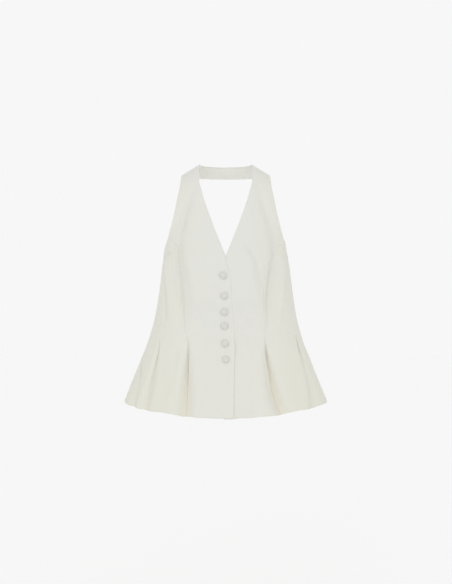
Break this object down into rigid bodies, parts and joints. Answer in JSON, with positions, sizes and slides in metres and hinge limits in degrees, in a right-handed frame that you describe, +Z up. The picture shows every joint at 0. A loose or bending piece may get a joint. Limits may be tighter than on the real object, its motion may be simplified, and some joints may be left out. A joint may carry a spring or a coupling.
{
  "type": "halter waistcoat top",
  "caption": "Hollow sleeveless waistcoat top: V neck on wide straps joined by a band behind the neck, button front, princess seams let go into pleats, flared hem.",
  "frame": {"origin": "halfway between the tops of the two straps, over the side seams: the middle of the neck opening, where a neck or a hanger holds the garment", "axes": "+Z up, the front faces -Y, +X is the viewer's right (the wearer's left)"},
  "size_m": [0.4554, 0.2968, 0.557],
  "materials": {
    "ivory_cloth": "soft matt woven cloth with a faint sheen",
    "button_cloth": "the same cloth, drawn tight over a domed button"
  },
  "bodies": {
    "root": {"front_right": "ivory_cloth", "front_left": "ivory_cloth", "side_right": "ivory_cloth", "side_left": "ivory_cloth", "back": "ivory_cloth", "neck_band": "ivory_cloth", "button_1": "button_cloth", "button_2": "button_cloth", "button_3": "button_cloth", "button_4": "button_cloth", "button_5": "button_cloth", "button_6": "button_cloth"}
  },
  "joints": []
}
